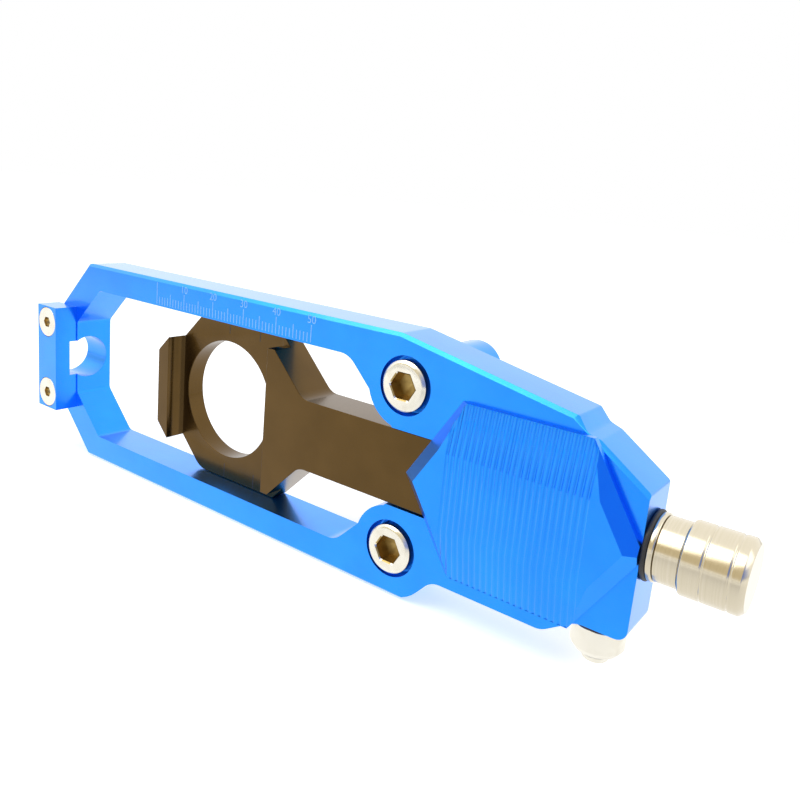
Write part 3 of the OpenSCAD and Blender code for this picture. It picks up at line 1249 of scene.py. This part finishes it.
@dataclass
class Studio:
    """The floor, the lamps, the world and the camera.

    Attributes:
        eye: the camera's place.
        right: direction of the picture's right.
        down: direction of the picture's lower edge.
        ahead: direction in which the camera looks.
        lens: focal length in millimetres.
        sensor: width of the sensor in millimetres.
        shift: shift of the lens, as a share of the picture's width.
        nearest: distance from which the camera sees.
        dark_spot: middle of the dark card on the floor that polished faces mirror.
        dark_reach: distances between which the card fades into pale paper.
        dark_level: brightness of both cards in a mirror.
        pale_level: brightness of the paper and the surround in a mirror.
        dark_side: direction of the dark blue card that stands beside the camera.
        card_edge: cosines of the angles to that direction between which the card comes in.
        card_colour: colour of that card.
        room_foot: heights of a ray's direction between which the room comes in.
        room_top: heights between which it fades.
        room_front: depths of a ray's direction between which it fades.
        room_level: brightness of the room behind the camera, as a share of the surround.
        room_colour: colour of that room.
        plain_level: brightness of the surround that lights matt surfaces.
        far_reach: distances between which the mirrored paper dims.
        far_level: what is left of its brightness at the second.
        paper: colour of the floor.
        paper_glow: light that the floor adds where the camera looks at it.
        floor_size: half the length of the floor's sides.
        clearance: gap between the part and the floor.
        softboxes: the lamps.
    """

    eye: Vector = Vector((79.667, -142.981, 52.702)) * MM
    right: Vector = Vector((0.79776, 0.59662, 0.08729))
    down: Vector = Vector((0.19669, -0.12064, -0.97301))
    ahead: Vector = Vector((-0.56999, 0.79340, -0.21360))
    lens: float = 34.93
    sensor: float = 36.0
    shift: tuple[float, float] = (0.0104, -0.0547)
    nearest: float = 1.0 * MM
    dark_spot: tuple[float, float] = (0.09, -0.17)
    dark_reach: tuple[float, float] = (0.03, 0.2)
    dark_level: float = 0.85
    pale_level: float = 1.4
    dark_side: tuple[float, float, float] = (0.78, -0.62, 0.05)
    card_edge: tuple[float, float] = (0.7, 0.96)
    card_colour: Colour = (0.3, 0.42, 1.0)
    room_foot: tuple[float, float] = (0.04, 0.14)
    room_top: tuple[float, float] = (0.7, 0.76)
    room_front: tuple[float, float] = (-0.62, -0.4)
    room_level: float = 0.62
    room_colour: Colour = (1.0, 0.88, 0.62)
    plain_level: float = 0.6
    far_reach: tuple[float, float] = (0.4, 1.0)
    far_level: float = 0.3
    paper: Colour = (0.92, 0.93, 0.94)
    paper_glow: float = 0.5
    floor_size: float = 3.0
    clearance: float = 0.02 * MM
    softboxes: tuple[Softbox, ...] = (
        Softbox("key_softbox", (-0.25, -0.35, 0.6), (-0.02, -0.02, 0.0), 0.6, 2.6),
        Softbox("side_softbox", (0.55, 0.05, 0.35), (0.0, -0.02, 0.0), 0.4, 0.5),
    )

    def camera(self) -> None:
        """Places the camera where the photograph was taken from."""
        data = bpy.data.cameras.new("camera")
        data.sensor_width = self.sensor
        data.lens = self.lens
        data.shift_x, data.shift_y = self.shift
        data.clip_start = self.nearest
        obj = bpy.data.objects.new("camera", data)
        bpy.context.scene.collection.objects.link(obj)
        turn = Matrix((self.right, -self.down, -self.ahead)).transposed()
        obj.matrix_world = Matrix.Translation(self.eye) @ turn.to_4x4()
        bpy.context.scene.camera = obj

    def _looked_at(self, tree: Tree, path: bpy.types.Node) -> Socket:
        """Gives 1 where the camera looks, straight on or through glass."""
        outputs = path.outputs
        return tree.maths("MAXIMUM", outputs["Is Camera Ray"], outputs["Is Transmission Ray"])

    def _paper(self, level: float) -> bpy.types.Material:
        """Makes the floor's paper, in which polished faces mirror a dark card.

        Args:
            level: the floor's height.

        Returns:
            The finished material.
        """
        material = bpy.data.materials.new("floor_paper")
        material.use_nodes = True
        tree = Tree(material.node_tree)
        path = tree.add("ShaderNodeLightPath")
        glossy = path.outputs["Is Glossy Ray"]
        away = tree.add("ShaderNodeVectorMath", operation="DISTANCE")
        tree.link(tree.add("ShaderNodeNewGeometry").outputs["Position"], away.inputs[0])
        away.inputs[1].default_value = (*self.dark_spot, level)
        distance = away.outputs["Value"]
        near = tree.spread(distance, self.dark_level, self.pale_level, *self.dark_reach)
        far = tree.spread(distance, 1.0, self.far_level, *self.far_reach)
        mirrored = tree.maths("MULTIPLY", glossy, tree.maths("MULTIPLY", near, far))
        seen = tree.maths("MULTIPLY", self._looked_at(tree, path), self.paper_glow)
        paper = tree.add("ShaderNodeBsdfDiffuse", in_Color=(*self.paper, 1.0))
        glow = tree.add("ShaderNodeEmission")
        tree.link(tree.maths("ADD", seen, mirrored), glow.inputs["Strength"])
        direct = tree.add("ShaderNodeMixShader")
        tree.link(glossy, direct.inputs[0])
        tree.link(paper.outputs[0], direct.inputs[1])
        both = tree.add("ShaderNodeAddShader")
        tree.link(direct.outputs[0], both.inputs[0])
        tree.link(glow.outputs[0], both.inputs[1])
        output = tree.add("ShaderNodeOutputMaterial")
        tree.link(both.outputs[0], output.inputs["Surface"])
        return material

    def floor(self) -> None:
        """Lays the pale floor under the lowest point of the part."""
        level = CAD_BOX[0][2] - self.clearance
        work = bmesh.new()
        bmesh.ops.create_grid(work, x_segments=1, y_segments=1, size=self.floor_size)
        mesh = bpy.data.meshes.new("floor")
        work.to_mesh(mesh)
        work.free()
        mesh.materials.append(self._paper(level))
        obj = bpy.data.objects.new("floor", mesh)
        obj.location = (0.0, 0.0, level)
        bpy.context.scene.collection.objects.link(obj)

    def _card(self, tree: Tree, towards: Socket) -> Socket:
        """Makes the mask of the blue card.

        Args:
            tree: the world's tree.
            towards: direction of a ray.

        Returns:
            1 where the direction meets the card, and 0 elsewhere.
        """
        facing = tree.add("ShaderNodeVectorMath", operation="DOT_PRODUCT")
        tree.link(towards, facing.inputs[0])
        facing.inputs[1].default_value = self.dark_side
        return tree.spread(facing.outputs["Value"], 0.0, 1.0, *self.card_edge)

    def _room(self, tree: Tree, towards: Socket, card: Socket) -> Socket:
        """Makes the mask of the room behind the camera.

        Args:
            tree: the world's tree.
            towards: direction of a ray.
            card: the card's mask.

        Returns:
            1 where the direction meets the room outside the card, and 0 elsewhere.
        """
        ray = tree.add("ShaderNodeSeparateXYZ")
        tree.link(towards, ray.inputs[0])
        above = tree.spread(ray.outputs["Z"], 0.0, 1.0, *self.room_foot)
        below = tree.spread(ray.outputs["Z"], 1.0, 0.0, *self.room_top)
        behind = tree.spread(ray.outputs["Y"], 1.0, 0.0, *self.room_front)
        beside = tree.maths("MULTIPLY", behind, tree.maths("SUBTRACT", 1.0, card))
        return tree.maths("MULTIPLY", tree.maths("MULTIPLY", above, below), beside)

    def world(self) -> None:
        """Makes the white surround, in which metal sees a blue card and the dimmer room."""
        world = bpy.data.worlds.new("surround")
        bpy.context.scene.world = world
        world.use_nodes = True
        tree = Tree(world.node_tree)
        path = tree.add("ShaderNodeLightPath")
        glossy = path.outputs["Is Glossy Ray"]
        towards = tree.add("ShaderNodeTexCoord").outputs["Generated"]
        card = self._card(tree, towards)
        room = self._room(tree, towards, card)
        shade = tree.spread(card, self.pale_level, self.dark_level)
        depth = tree.maths("MULTIPLY", shade, tree.spread(room, 1.0, self.room_level))
        plain = tree.spread(glossy, self.plain_level, 0.0)
        soft = tree.maths("ADD", plain, tree.maths("MULTIPLY", glossy, depth))
        strength = tree.maths("MAXIMUM", soft, self._looked_at(tree, path))
        hue = tree.add("ShaderNodeMix", data_type="RGBA", blend_type="MULTIPLY")
        hue.inputs["Factor"].default_value = 1.0
        for mask, colour, place in (
            (card, self.card_colour, FIRST_COLOUR),
            (room, self.room_colour, SECOND_COLOUR),
        ):
            tinted = mix_colour(tree, tree.maths("MULTIPLY", mask, glossy), WHITE, colour)
            tree.link(tinted, hue.inputs[place])
        background = tree.add("ShaderNodeBackground")
        tree.link(hue.outputs[MIXED_COLOUR], background.inputs["Color"])
        tree.link(strength, background.inputs["Strength"])
        output = tree.add("ShaderNodeOutputWorld")
        tree.link(background.outputs[0], output.inputs["Surface"])

    def build(self) -> None:
        """Builds the whole studio."""
        self.camera()
        self.floor()
        for softbox in self.softboxes:
            softbox.hang()
        self.world()
        bpy.context.scene.view_settings.view_transform = "Standard"


def main() -> None:
    """Builds the part's pieces and the studio, in order."""
    logging.basicConfig(level=logging.INFO, format="%(name)s: %(message)s")
    finisher = Finisher()
    for assembly in (Housing(), Carrier(), Fasteners(), Adjuster(), Lock()):
        assembly.build(finisher)
    Studio().build()
    bpy.context.view_layer.update()


if __name__ == "__main__":
    main()
